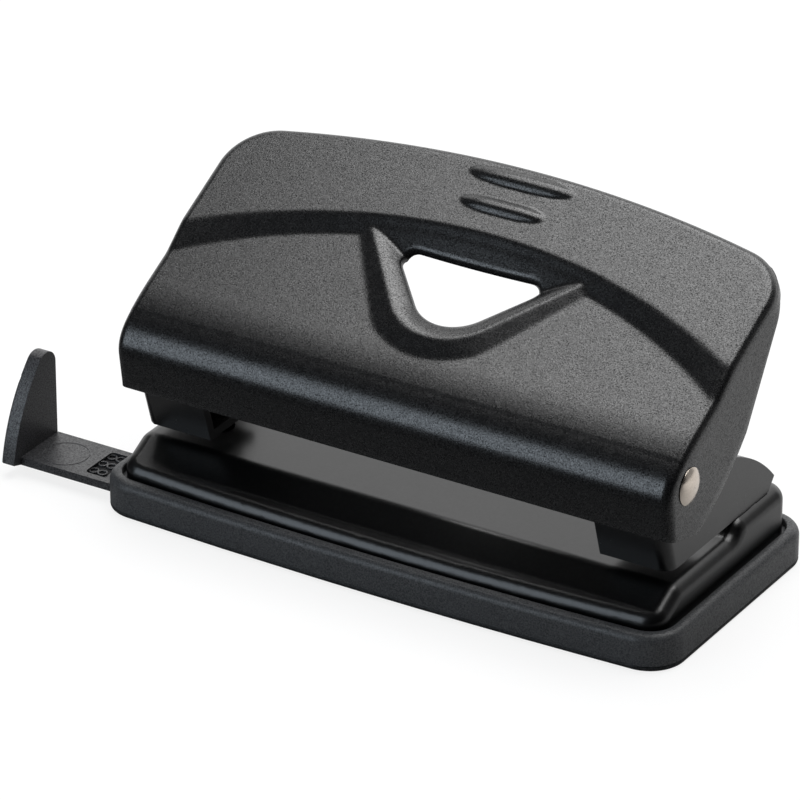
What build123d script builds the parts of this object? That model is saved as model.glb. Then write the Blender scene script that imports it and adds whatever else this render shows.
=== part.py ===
from build123d import *
import math
import os

# Two-hole desk punch, in millimetres.
# The origin is the middle of the underside, +X to the right, +Y to the rear, +Z up.
# Paper enters from the front and stops against the step in the steel base.

# How far a cutting shape runs past the face that it cuts
overrun = 6.0

# Walls are told from slopes by their normals, and upright edges by their headings
wall_share = 0.01
upright_share = 0.98

# Punching
hole_spacing = 80.0
pin_diameter = 5.5
paper_margin = 12.0
paper_gap = 2.2
punch_y = -6.5

# Outline of the plastic base: long sides bowed, corners round
base_end_margin = 4.2
base_depth = 47.1
base_corner = 6.2
base_bow = 1.4

# Chip tray: a flat bottom cover with two upright lips that clip inside the surround
tray_thickness = 1.0
tray_lip_height = 2.4
tray_lip_wall = 1.0
tray_lip_length = 76.0
tray_lip_clearance = 0.2
tray_edge_round = 0.6

# Surround: the plastic frame that carries the steel base on a ledge
surround_wall = 2.0
rim_top = 6.2
rim_round = 1.5
rim_inner_round = 0.3
ledge_top = 5.0
ledge_thickness = 1.0
ledge_reach = 4.0
bulkhead_spacing = 40.0
bulkhead_thickness = 1.6

# Steel base: one pressing with a front lip, a ramp, the paper bed and the raised rear
plate_groove = 0.7
plate_sheet = 1.0
lip_height = 8.0
bed_height = 11.0
lip_run = 3.35
ramp_run = 5.8
step_run = 2.0
profile_round = 3.0
shoulder_round = 2.4

# Paper guide
guide_width = 10.65
guide_thickness = 1.4
guide_inset = 3.5
guide_lift = 1.7
guide_reach = 17.1
guide_length = 101.5
guide_clearance = 0.2
guide_catch_length = 2.0
guide_catch_height = 0.7
fin_thickness = 2.6
fin_front_reach = 1.95
fin_front_lift = 0.6
fin_belly_run = 3.6
fin_belly_rise = 9.7
fin_crown_run = 8.1
fin_crown_rise = 15.6
fin_rear_inset = 0.1
fin_round = 0.5
window_offset = 11.6
window_length = 6.6
window_margin = 1.35
window_depth = 0.6
window_corner = 0.8

# Handle: pressed sheet with side flanges and a rolled nose over the pivot
handle_sheet = 1.2
handle_slope = 27.5
handle_reach = 44.4
nose_radius = 7.0
nose_y = -13.1
nose_z = 27.6
nose_foot_y = -19.2
nose_foot_z = 20.9
rear_bow = 5.9
rear_corner = 9.5
fold_round = 1.6
raised_height = 1.3
raised_run = 17.8
riser_run = 3.4
riser_radius = 98.0
riser_lead = 4.0
riser_foot_round = 3.0
riser_top_round = 3.0
rear_lip_depth = 3.5

# Finger eye in the handle and the pressed rim round it
eye_gap = 2.3
eye_foot_reach = 8.3
eye_half_width = 14.2
eye_foot_round = 8.1
eye_corner_round = 2.0
eye_sink = 0.6
rim_crest_offset = 3.4
rim_crest_width = 0.5
rim_foot_offset = 7.0
rim_height = 1.0

# Grip ribs on the raised part of the handle
upper_grip_length = 19.2
upper_grip_width = 2.8
upper_grip_inset = 4.3
lower_grip_length = 15.3
lower_grip_width = 2.6
grip_pitch = 5.8
grip_height = 0.8
grip_top_share = 0.55

# Flange outline, seen from the side
flange_rear_inset = 10.3
flange_knee_y = 4.1
flange_knee_z = 29.8
flange_bend_y = -3.6
flange_bend_z = 22.9
flange_foot_y = -11.2
flange_foot_z = 18.8

# Pivot
pivot_y = -14.0
pivot_z = 28.5
pivot_diameter = 4.0
pivot_clearance = 0.06
rivet_fit = 0.03
rivet_head_diameter = 6.2
rivet_head_height = 1.5
rivet_head_gap = 0.1
rivet_tail_diameter = 5.8
rivet_tail_height = 0.8

# Punch brackets
bracket_sheet = 1.5
bracket_gap = 1.1
bracket_foot_y = -15.1
bracket_lean = 17.0
bracket_front_top = 21.0
bracket_inner_reach = 4.2
bracket_outer_reach = 6.7
bracket_bend = 2.2
ear_radius = 3.5
tail_foot_y = 16.3
tail_tip_y = 18.1
tail_tip_z = 15.3
tail_mid_y = 12.3
tail_mid_z = 20.4
tail_root_y = 4.3
tail_root_z = 24.6
tab_front_y = -10.8
tab_rear_y = -2.2
tab_top = 31.2
front_lug_y = 8.6
rear_lug_y = 14.0
lug_length = 3.6
lug_drop = 1.2
lug_clearance = 0.05
guide_fit = 0.05

# Punch pins, their retaining rings, washers and springs
pin_tip_lift = 0.15
pin_top_gap = 0.35
pin_tip_hollow = 0.7
ring_height = 0.7
ring_width = 1.2
ring_groove = 0.4
ring_fit = 0.02
ring_sweep = 300.0
ring_gap = 0.15
washer_height = 0.6
washer_diameter = 8.6
spring_diameter = 8.0
spring_wire = 0.7
spring_turns = 7
spring_seat_gap = 0.04
spring_least_gap = 0.4
coil_share = 0.5

# Places worked out from the sizes above
stop_y = punch_y + paper_margin
plateau_height = bed_height + paper_gap
punch_x = hole_spacing / 2
plate_inset = surround_wall + plate_groove
ledge_bottom = ledge_top - ledge_thickness
ledge_inset = surround_wall + ledge_reach
bracket_inner_x = punch_x - bracket_inner_reach
bracket_inner = punch_x + bracket_outer_reach
bracket_outer = bracket_inner + bracket_sheet
bracket_mid = (bracket_inner + bracket_outer) / 2
handle_half = bracket_outer + bracket_gap + handle_sheet
handle_width = 2 * handle_half
base_length = 2 * (bracket_outer + base_end_margin)
bracket_shelf = plateau_height + bracket_sheet
tab_bottom = tab_top - bracket_sheet
ramp_foot_y = lip_run - base_depth / 2
ramp_head_y = ramp_foot_y + ramp_run
guide_front_y = guide_inset - base_depth / 2
guide_rear_y = guide_front_y + guide_width
guide_stop_x = -base_length / 2 - guide_reach
guide_top = guide_lift + guide_thickness
ring_top = tab_bottom - ring_gap
ring_bottom = ring_top - ring_height
washer_bottom = ring_bottom - washer_height
pin_radius = pin_diameter / 2
fit_radius = pin_radius + guide_fit
pin_tip = plateau_height + pin_tip_lift
coil_radius = (spring_diameter - spring_wire) / 2
coil_start = bracket_shelf + spring_wire / 2 + spring_seat_gap
coil_pitch = (washer_bottom - spring_wire / 2 - spring_seat_gap - coil_start) / spring_turns

# The handle's slanted plane lies on the sunk part of the pressing and touches the nose
slope = math.radians(handle_slope)
slope_up = (0, math.cos(slope), math.sin(slope))
slope_out = (0, -math.sin(slope), math.cos(slope))
seat_y = nose_y + nose_radius * slope_out[1]
seat_z = nose_z + nose_radius * slope_out[2]
panel = Plane(origin=(0, seat_y, seat_z), x_dir=(1, 0, 0), z_dir=slope_out)
riser_turn = math.atan2(raised_height, riser_run)
riser_apex = handle_reach - raised_run
rim_turn = math.atan2(rim_height, rim_foot_offset - rim_crest_offset - rim_crest_width)
funnel_turn = math.atan2(rim_height + eye_sink, rim_crest_offset)
eye_top = riser_apex - eye_gap
upper_grip_reach = handle_reach - upper_grip_inset
lower_grip_reach = upper_grip_reach - grip_pitch

# The pin's round top waits just under the sunk part of the handle
crown_level = -handle_sheet - pin_top_gap - pin_radius
crown_reach = (punch_y - seat_y - crown_level * slope_out[1]) / slope_up[1]
pin_shoulder = seat_z + crown_reach * slope_up[2] + crown_level * slope_out[2]
pin_crown = pin_shoulder + pin_radius


def panel_point(reach, level):
    """Side-view place of a point on the handle: its reach up the slope and level above it."""
    y = seat_y + reach * slope_up[1] + level * slope_out[1]
    z = seat_z + reach * slope_up[2] + level * slope_out[2]
    return (y, z)


def base_face(inset):
    """Outline of the base, drawn in by an inset all round."""
    half_x = base_length / 2 - inset
    half_y = base_depth / 2 - inset
    with BuildSketch() as outline:
        with BuildLine():
            ThreePointArc((-half_x, -half_y), (0, -half_y - base_bow), (half_x, -half_y))
            Line((half_x, -half_y), (half_x, half_y))
            ThreePointArc((half_x, half_y), (0, half_y + base_bow), (-half_x, half_y))
            Line((-half_x, half_y), (-half_x, -half_y))
        make_face()
        fillet(outline.vertices(), base_corner - inset)
    return outline.sketch


def base_pressing(inset):
    """Outer form of the steel base, drawn in by an inset."""
    far_y = base_depth
    step_foot_y = stop_y - step_run
    with BuildPart() as form:
        with BuildSketch(Plane.XY.offset(ledge_top)):
            add(base_face(plate_inset + inset))
        extrude(amount=plateau_height)
        with BuildSketch(Plane.YZ) as profile:
            with BuildLine():
                Polyline(
                    (-far_y, lip_height - inset),
                    (ramp_foot_y, lip_height - inset),
                    (ramp_head_y, bed_height - inset),
                    (step_foot_y, bed_height - inset),
                    (stop_y, plateau_height - inset),
                    (far_y, plateau_height - inset),
                    (far_y, 0),
                    (-far_y, 0),
                    close=True,
                )
            make_face()
            bends = profile.vertices().filter_by(lambda v: abs(v.Y) < far_y and abs(v.X) < far_y)
            fillet([v for v in bends if v.Y > 0], profile_round)
        extrude(amount=base_length, both=True, mode=Mode.INTERSECT)
        walls = form.faces().filter_by(lambda f: abs(f.normal_at().Z) < wall_share)
        crest = [e for f in walls for e in f.edges() if e.center().Z > ledge_top + inset]
        crest = [e for e in crest if abs(e.tangent_at(0.5).Z) < upright_share]
        fillet(crest, shoulder_round - inset)
    return form.part


def eye_face(grow, rise):
    """Rounded triangle of the finger eye, grown by an offset; a rise carries its sides on upwards."""
    top = eye_top + rise
    half_top = eye_half_width * (top - eye_foot_reach) / (eye_top - eye_foot_reach)
    with BuildSketch() as outline:
        with BuildLine():
            Polyline((-half_top, top), (0, eye_foot_reach), (half_top, top), close=True)
        make_face()
        fillet(outline.vertices().sort_by(Axis.Y)[0], eye_foot_round)
        fillet(outline.vertices().sort_by(Axis.Y)[-2:], eye_corner_round)
        if grow:
            offset(amount=grow, kind=Kind.ARC)
    return outline.sketch


def eye_rim(inset):
    """Ridge pressed up round the foot and sides of the eye and into the riser."""
    with BuildPart() as ridge:
        with BuildSketch(panel.offset(-inset)):
            add(eye_face(rim_foot_offset - inset * math.tan(rim_turn / 2), eye_gap + riser_run))
        extrude(amount=rim_height, taper=90 - math.degrees(rim_turn))
    return ridge.part


def eye_funnel(inset):
    """Funnel from the ridge's crest down to the eye, taken out of the pressing."""
    with BuildPart() as funnel:
        with BuildSketch(panel.offset(-eye_sink - inset)):
            add(eye_face(inset * math.tan(funnel_turn / 2), 0))
        extrude(amount=eye_sink + overrun, taper=math.degrees(funnel_turn) - 90)
    return funnel.part


def raised_form(inset):
    """Raised rear part of the pressing, its arched riser turned about an axis square to the panel."""
    bend = inset * math.tan(riser_turn / 2)
    foot = riser_radius + bend
    head = foot + riser_run
    far = riser_radius + handle_reach
    centre = (0, *panel_point(riser_apex - riser_radius, 0))
    with BuildPart() as raised:
        with BuildSketch(Plane(origin=centre, x_dir=slope_up, z_dir=(1, 0, 0))) as section:
            with BuildLine():
                Polyline(
                    (riser_radius - riser_lead, -overrun),
                    (riser_radius - riser_lead, -inset),
                    (foot, -inset),
                    (head, raised_height - inset),
                    (far, raised_height - inset),
                    (far, -overrun),
                    close=True,
                )
            make_face()
            fillet(section.vertices().sort_by_distance((foot, -inset))[0], riser_foot_round + inset)
            fillet(
                section.vertices().sort_by_distance((head, raised_height - inset))[0],
                riser_top_round - inset,
            )
        revolve(axis=Axis(centre, slope_out))
    return raised.part


def handle_pressing(inset):
    """Outer form of the handle, drawn in by an inset for its inside."""
    half_x = handle_half - inset
    radius = nose_radius - inset
    far = handle_reach + handle_width
    foot_y = nose_foot_y + inset
    # The front wall runs up from its foot and touches the nose
    foot_span = math.hypot(foot_y - nose_y, nose_foot_z - nose_z)
    foot_turn = math.atan2(nose_foot_z - nose_z, foot_y - nose_y) + 2 * math.pi
    wall_turn = foot_turn - math.acos(radius / foot_span)
    wall_head = (nose_y + radius * math.cos(wall_turn), nose_z + radius * math.sin(wall_turn))
    wall_base = (foot_y + nose_foot_z * math.tan(wall_turn), 0)
    nose_mid = (wall_turn + math.pi / 2 + slope) / 2
    with BuildPart() as form:
        with BuildSketch(Plane.YZ):
            with BuildLine():
                Line(wall_base, wall_head)
                ThreePointArc(
                    wall_head,
                    (nose_y + radius * math.cos(nose_mid), nose_z + radius * math.sin(nose_mid)),
                    panel_point(0, -inset),
                )
                Line(panel_point(0, -inset), panel_point(far, -inset))
                Line(panel_point(far, -inset), (panel_point(far, 0)[0], 0))
                Line((panel_point(far, 0)[0], 0), wall_base)
            make_face()
        extrude(amount=half_x, both=True)
        add(raised_form(inset))
        add(eye_rim(inset))
        add(eye_funnel(inset), mode=Mode.SUBTRACT)
        # The plan: straight sides, bowed rear edge and round rear corners
        rear = handle_reach - inset
        with BuildSketch(panel.offset(-far)) as plan:
            with BuildLine():
                ThreePointArc((-half_x, rear - rear_bow), (0, rear), (half_x, rear - rear_bow))
                Line((half_x, rear - rear_bow), (half_x, -far))
                Line((half_x, -far), (-half_x, -far))
                Line((-half_x, -far), (-half_x, rear - rear_bow))
            make_face()
            fillet(plan.vertices().sort_by(Axis.Y)[-2:], rear_corner - inset)
        extrude(amount=far + far, mode=Mode.INTERSECT)
        # The folds: edges between the panel and the walls that stand square to it
        walls = form.faces().filter_by(lambda f: abs(f.normal_at().dot(Vector(*slope_out))) < wall_share)
        edges = [e for f in walls for e in f.edges() if e.center().Z > nose_z]
        folds = [e for e in edges if edges.count(e) == 1]
        fillet(folds, fold_round - inset)
    return form.part


def grip_rib(length, width, reach):
    """Low raised rib on the handle, at a reach up the slope."""
    with BuildPart() as rib:
        for rise, share in ((0, 1), (grip_height, grip_top_share)):
            with BuildSketch(panel.offset(raised_height + rise)):
                with Locations((0, reach)):
                    Ellipse(length * share / 2, width * share / 2)
        loft(ruled=True)
    return rib.part


def coil_point(turn):
    """Point of the return spring's centre line after a number of turns."""
    angle = 2 * math.pi * turn
    height = coil_start + coil_pitch * turn
    return Vector(coil_radius * math.cos(angle), coil_radius * math.sin(angle), height)


def coil_heading(turn):
    """Direction of the spring's centre line after a number of turns."""
    angle = 2 * math.pi * turn
    across = 2 * math.pi * coil_radius
    return Vector(-across * math.sin(angle), across * math.cos(angle), coil_pitch).normalized()


def coil_biarc(turn, share):
    """Two tangent arcs over a share of a turn: the joint between them and its heading."""
    first, last = coil_point(turn), coil_point(turn + share)
    leave, arrive = coil_heading(turn), coil_heading(turn + share)
    chord = last - first
    along = chord.dot(leave + arrive)
    bend = 2 * (1 - leave.dot(arrive))
    reach = (math.sqrt(along**2 + bend * chord.dot(chord)) - along) / bend
    joint = (first + last + (leave - arrive) * reach) * 0.5
    heading = (last - arrive * reach - first - leave * reach).normalized()
    return joint, heading


os.makedirs("parts", exist_ok=True)

with BuildPart() as chip_tray:
    with BuildSketch():
        add(base_face(0))
    extrude(amount=tray_thickness)
    fillet(chip_tray.faces().sort_by(Axis.Z)[0].edges(), tray_edge_round)
    lip_inset = surround_wall + tray_lip_clearance
    with BuildSketch(Plane.XY.offset(tray_thickness)):
        add(base_face(lip_inset))
        add(base_face(lip_inset + tray_lip_wall), mode=Mode.SUBTRACT)
        Rectangle(tray_lip_length, base_length, mode=Mode.INTERSECT)
    extrude(amount=tray_lip_height)

with BuildPart() as base_surround:
    with BuildSketch(Plane.XY.offset(tray_thickness)):
        add(base_face(0))
    extrude(amount=rim_top - tray_thickness)
    with BuildSketch(Plane.XY.offset(ledge_top)):
        add(base_face(surround_wall))
    extrude(amount=overrun, mode=Mode.SUBTRACT)
    with BuildSketch(Plane.XY.offset(tray_thickness)):
        add(base_face(surround_wall))
    extrude(amount=ledge_bottom - tray_thickness, mode=Mode.SUBTRACT)
    with BuildSketch(Plane.XY.offset(ledge_bottom)):
        add(base_face(ledge_inset))
    extrude(amount=overrun, mode=Mode.SUBTRACT)
    rim_wires = base_surround.faces().sort_by(Axis.Z)[-1].wires().sort_by(SortBy.LENGTH)
    fillet(rim_wires[-1].edges(), rim_round)
    rim_wires = base_surround.faces().sort_by(Axis.Z)[-1].wires().sort_by(SortBy.LENGTH)
    fillet(rim_wires[0].edges(), rim_inner_round)
    # Bulkheads across the frame carry the paper guide
    bulkhead_depth = base_depth - 2 * (surround_wall + tray_lip_clearance + tray_lip_wall + guide_clearance)
    with BuildSketch(Plane.XY.offset(tray_thickness)):
        with GridLocations(bulkhead_spacing, 0, 2, 1):
            Rectangle(bulkhead_thickness, bulkhead_depth)
    extrude(amount=ledge_top - tray_thickness)
    # Slots for the guide: close-fitting in the left wall, taller in the bulkheads for its catch
    slot_width = guide_width + 2 * guide_clearance
    slot_mid_y = (guide_front_y + guide_rear_y) / 2
    slot_bottom = guide_lift - guide_clearance
    with BuildSketch(Plane.XY.offset(slot_bottom)):
        with Locations((-base_length / 2 + surround_wall / 2, slot_mid_y)):
            Rectangle(surround_wall + overrun, slot_width)
    extrude(amount=guide_thickness + 2 * guide_clearance, mode=Mode.SUBTRACT)
    with BuildSketch(Plane.XY.offset(slot_bottom)):
        with Locations((0, slot_mid_y)):
            Rectangle(bulkhead_spacing + 2 * bulkhead_thickness, slot_width)
    extrude(amount=guide_thickness + guide_catch_height + 2 * guide_clearance, mode=Mode.SUBTRACT)

with BuildPart() as base_plate:
    add(base_pressing(0))
    add(base_pressing(plate_sheet), mode=Mode.SUBTRACT)
    with BuildSketch(Plane.XY.offset(ledge_top)):
        with Locations((-punch_x, punch_y), (punch_x, punch_y)):
            Circle(fit_radius)
        with Locations(*[(s * bracket_mid, y) for s in (-1, 1) for y in (front_lug_y, rear_lug_y)]):
            Rectangle(bracket_sheet + 2 * lug_clearance, lug_length + 2 * lug_clearance)
    extrude(amount=plateau_height, mode=Mode.SUBTRACT)

with BuildPart() as paper_guide:
    with BuildSketch(Plane.XY.offset(guide_lift)):
        with Locations((guide_stop_x, guide_front_y)):
            Rectangle(guide_length, guide_width, align=(Align.MIN, Align.MIN))
    extrude(amount=guide_thickness)
    with BuildSketch(Plane.XY.offset(guide_top)):
        with Locations((guide_stop_x + guide_length - guide_catch_length, guide_front_y)):
            Rectangle(guide_catch_length, guide_width, align=(Align.MIN, Align.MIN))
    extrude(amount=guide_catch_height)
    with BuildSketch(Plane.XY.offset(guide_top)):
        with Locations((guide_stop_x + window_offset, (guide_front_y + guide_rear_y) / 2)):
            RectangleRounded(
                window_length,
                guide_width - 2 * window_margin,
                window_corner,
                align=(Align.MIN, Align.CENTER),
            )
    extrude(amount=-window_depth, mode=Mode.SUBTRACT)
    # The stop fin: a bowed front edge that leans back, a round crown and an upright rear edge
    fin_front = guide_front_y - fin_front_reach
    fin_base = guide_lift + fin_front_lift
    fin_rear = guide_rear_y - fin_rear_inset
    fin_crown = (fin_front + fin_crown_run, fin_base + fin_crown_rise)
    with BuildSketch(Plane.YZ.offset(guide_stop_x - fin_thickness)):
        with BuildLine():
            Line((fin_rear, guide_lift), (guide_front_y, guide_lift))
            Line((guide_front_y, guide_lift), (fin_front, fin_base))
            front_edge = ThreePointArc(
                (fin_front, fin_base),
                (fin_front + fin_belly_run, fin_base + fin_belly_rise),
                fin_crown,
            )
            heading = front_edge % 1
            crown_round = (fin_rear - fin_crown[0]) / (1 + heading.Y)
            crown_end = fin_crown[1] - crown_round * heading.X
            TangentArc(fin_crown, (fin_rear, crown_end), tangent=heading)
            Line((fin_rear, crown_end), (fin_rear, guide_lift))
        make_face()
    extrude(amount=fin_thickness)
    fin_back = paper_guide.faces().filter_by(Axis.X).sort_by(Axis.X)[0]
    fillet(fin_back.edges(), fin_round)

with BuildPart() as handle:
    add(handle_pressing(0))
    add(handle_pressing(handle_sheet), mode=Mode.SUBTRACT)
    # The flange outline keeps what lies above it
    lip_level = raised_height - rear_lip_depth
    lip_corner = panel_point(handle_reach - flange_rear_inset, lip_level)
    far_reach = handle_reach + handle_width
    with BuildSketch(Plane.YZ) as flange:
        with BuildLine():
            Line((nose_foot_y - overrun, nose_foot_z), (nose_foot_y, nose_foot_z))
            Line((nose_foot_y, nose_foot_z), (flange_foot_y, flange_foot_z))
            ThreePointArc(
                (flange_foot_y, flange_foot_z),
                (flange_bend_y, flange_bend_z),
                (flange_knee_y, flange_knee_z),
            )
            Line((flange_knee_y, flange_knee_z), lip_corner)
            Line(lip_corner, panel_point(far_reach, lip_level))
            Line(panel_point(far_reach, lip_level), panel_point(far_reach, far_reach))
            Line(panel_point(far_reach, far_reach), (nose_foot_y - overrun, far_reach))
            Line((nose_foot_y - overrun, far_reach), (nose_foot_y - overrun, nose_foot_z))
        make_face()
    extrude(amount=handle_width, both=True, mode=Mode.INTERSECT)
    with BuildSketch(panel.offset(-overrun)):
        add(eye_face(0, 0))
    extrude(amount=overrun + overrun, mode=Mode.SUBTRACT)
    with BuildSketch(Plane.YZ):
        with Locations((pivot_y, pivot_z)):
            Circle(pivot_diameter / 2 + pivot_clearance)
    extrude(amount=handle_width, both=True, mode=Mode.SUBTRACT)
    add(grip_rib(upper_grip_length, upper_grip_width, upper_grip_reach))
    add(grip_rib(lower_grip_length, lower_grip_width, lower_grip_reach))

with BuildPart() as right_punch_bracket:
    lean_angle = math.radians(bracket_lean)
    lean = math.tan(lean_angle)
    front_thickness = bracket_sheet / math.cos(lean_angle)
    front_height = bracket_front_top - plateau_height
    # Front plate, bent round into the side plate and leaning forward
    with BuildSketch(Plane.XY.offset(plateau_height)) as front:
        with BuildLine():
            Polyline(
                (bracket_inner_x, bracket_foot_y),
                (bracket_outer, bracket_foot_y),
                (bracket_outer, bracket_foot_y + 2 * bracket_bend),
                (bracket_inner, bracket_foot_y + 2 * bracket_bend),
                (bracket_inner, bracket_foot_y + front_thickness),
                (bracket_inner_x, bracket_foot_y + front_thickness),
                close=True,
            )
        make_face()
        outer_corner = front.vertices().sort_by_distance((bracket_outer, bracket_foot_y))[0]
        fillet(outer_corner, bracket_bend)
        inner_corner = front.vertices().sort_by_distance((bracket_inner, bracket_foot_y + front_thickness))[0]
        fillet(inner_corner, bracket_bend - bracket_sheet)
    extrude(amount=front_height / math.cos(lean_angle), dir=(0, -math.sin(lean_angle), math.cos(lean_angle)))
    # Side plate: tail on the raised rear of the base, ear round the pivot
    with BuildSketch(Plane.YZ.offset(bracket_inner)):
        with BuildLine():
            Polyline(
                (bracket_foot_y + bracket_bend, plateau_height),
                (tail_foot_y, plateau_height),
                (tail_tip_y, tail_tip_z),
            )
            ThreePointArc((tail_tip_y, tail_tip_z), (tail_mid_y, tail_mid_z), (tail_root_y, tail_root_z))
            Polyline(
                (tail_root_y, tail_root_z),
                (tab_rear_y, tab_bottom - bracket_sheet),
                (tab_rear_y, tab_top),
                (tab_front_y, tab_top),
                (pivot_y, pivot_z + ear_radius),
            )
            ThreePointArc(
                (pivot_y, pivot_z + ear_radius),
                (pivot_y - ear_radius * math.sin(math.pi / 4), pivot_z + ear_radius * math.cos(math.pi / 4)),
                (pivot_y - ear_radius, pivot_z),
            )
            Polyline(
                (pivot_y - ear_radius, pivot_z),
                (bracket_foot_y + bracket_bend - front_height * lean, bracket_front_top),
                (bracket_foot_y + bracket_bend, plateau_height),
            )
        make_face()
    extrude(amount=bracket_sheet)
    # Shelf and upper tab guide the pin
    shelf_width = bracket_inner - bracket_inner_x
    with BuildSketch(Plane.XY.offset(plateau_height)):
        with Locations((bracket_inner_x, bracket_foot_y)):
            Rectangle(shelf_width, tab_rear_y - bracket_foot_y, align=(Align.MIN, Align.MIN))
    extrude(amount=bracket_sheet)
    with BuildSketch(Plane.XY.offset(tab_bottom)):
        with Locations((bracket_inner_x, tab_front_y)):
            Rectangle(shelf_width, tab_rear_y - tab_front_y, align=(Align.MIN, Align.MIN))
    extrude(amount=bracket_sheet)
    with BuildSketch(Plane.XY):
        with Locations((punch_x, punch_y)):
            Circle(fit_radius)
    extrude(amount=tab_top + overrun, mode=Mode.SUBTRACT)
    with BuildSketch(Plane.YZ.offset(bracket_inner - overrun)):
        with Locations((pivot_y, pivot_z)):
            Circle(pivot_diameter / 2 + rivet_fit)
    extrude(amount=overrun + overrun, mode=Mode.SUBTRACT)
    # Lugs go down through the base
    with BuildSketch(Plane.XY.offset(plateau_height)):
        with Locations((bracket_mid, front_lug_y), (bracket_mid, rear_lug_y)):
            Rectangle(bracket_sheet, lug_length)
    extrude(amount=-plate_sheet - lug_drop)

with BuildPart() as left_punch_bracket:
    mirror(right_punch_bracket.part, about=Plane.YZ)

with BuildPart() as right_pivot_rivet:
    head_x = handle_half + rivet_head_gap
    tail_x = bracket_inner - rivet_tail_height
    dome_radius = ((rivet_head_diameter / 2) ** 2 + rivet_head_height**2) / (2 * rivet_head_height)
    dome_x = head_x + rivet_head_height - dome_radius
    dome_angle = math.asin(rivet_head_diameter / 2 / dome_radius)
    with BuildSketch(Plane(origin=(0, pivot_y, pivot_z), x_dir=(1, 0, 0), z_dir=(0, -1, 0))):
        with BuildLine():
            Polyline(
                (head_x + rivet_head_height, 0),
                (tail_x, 0),
                (tail_x, rivet_tail_diameter / 2),
                (bracket_inner, rivet_tail_diameter / 2),
                (bracket_inner, pivot_diameter / 2),
                (head_x, pivot_diameter / 2),
                (head_x, rivet_head_diameter / 2),
            )
            ThreePointArc(
                (head_x, rivet_head_diameter / 2),
                (dome_x + dome_radius * math.cos(dome_angle / 2), dome_radius * math.sin(dome_angle / 2)),
                (head_x + rivet_head_height, 0),
            )
        make_face()
    revolve(axis=Axis((0, pivot_y, pivot_z), (1, 0, 0)))

with BuildPart() as left_pivot_rivet:
    mirror(right_pivot_rivet.part, about=Plane.YZ)

pieces = {
    "chip_tray": chip_tray.part,
    "base_surround": base_surround.part,
    "base_plate": base_plate.part,
    "paper_guide": paper_guide.part,
    "handle": handle.part,
    "left_punch_bracket": left_punch_bracket.part,
    "right_punch_bracket": right_punch_bracket.part,
    "left_pivot_rivet": left_pivot_rivet.part,
    "right_pivot_rivet": right_pivot_rivet.part,
}

for side, x in (("left", -punch_x), ("right", punch_x)):
    axis = Axis((x, punch_y, 0), (0, 0, 1))
    half_section = Plane(origin=(x, punch_y, 0), x_dir=(1, 0, 0), z_dir=(0, -1, 0))
    with BuildPart() as punch_pin:
        with BuildSketch(half_section):
            with BuildLine():
                Polyline(
                    (0, pin_crown),
                    (0, pin_tip + pin_tip_hollow),
                    (pin_radius, pin_tip),
                    (pin_radius, ring_bottom),
                    (pin_radius - ring_groove, ring_bottom),
                    (pin_radius - ring_groove, ring_top),
                    (pin_radius, ring_top),
                    (pin_radius, pin_shoulder),
                )
                ThreePointArc(
                    (pin_radius, pin_shoulder),
                    (pin_radius * math.sin(math.pi / 4), pin_shoulder + pin_radius * math.cos(math.pi / 4)),
                    (0, pin_crown),
                )
            make_face()
        revolve(axis=axis)
    pieces[f"{side}_punch_pin"] = punch_pin.part
    with BuildPart() as retaining_ring:
        with BuildSketch(half_section):
            with Locations((pin_radius - ring_groove + ring_fit, ring_bottom)):
                Rectangle(ring_width, ring_height, align=(Align.MIN, Align.MIN))
        revolve(axis=axis, revolution_arc=ring_sweep)
    pieces[f"{side}_retaining_ring"] = retaining_ring.part
    with BuildPart() as spring_washer:
        with BuildSketch(Plane.XY.offset(washer_bottom)):
            with Locations((x, punch_y)):
                Circle(washer_diameter / 2)
                Circle(fit_radius, mode=Mode.SUBTRACT)
        extrude(amount=washer_height)
    pieces[f"{side}_spring_washer"] = spring_washer.part
    with BuildPart() as return_spring:
        place = Vector(x, punch_y, 0)
        with BuildLine():
            for step in range(round(spring_turns / coil_share)):
                turn = step * coil_share
                joint, heading = coil_biarc(turn, coil_share)
                TangentArc(coil_point(turn) + place, joint + place, tangent=coil_heading(turn))
                TangentArc(joint + place, coil_point(turn + coil_share) + place, tangent=heading)
        with BuildSketch(Plane(origin=coil_point(0) + place, z_dir=coil_heading(0))):
            Circle(spring_wire / 2)
        sweep()
    pieces[f"{side}_return_spring"] = return_spring.part

for name, piece in pieces.items():
    piece.label = name
    export_step(piece, f"parts/{name}.step")
    print(name, piece.is_valid, len(piece.solids()), round(piece.volume, 1))

# Least gap between the spring's turns, measured on points of its centre line
samples = 36
points = [coil_point(i / samples) for i in range(spring_turns * samples + 1)]
least = min((points[i] - q).length for i in range(len(points)) for q in points[i + samples // 2 :])
print("spring least gap", round(least - spring_wire, 3), "over", spring_least_gap)
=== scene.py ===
"""Two-hole desk punch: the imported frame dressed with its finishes, floor, light and camera."""

import logging
import math
from dataclasses import dataclass
from enum import Enum
from functools import cache

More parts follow.
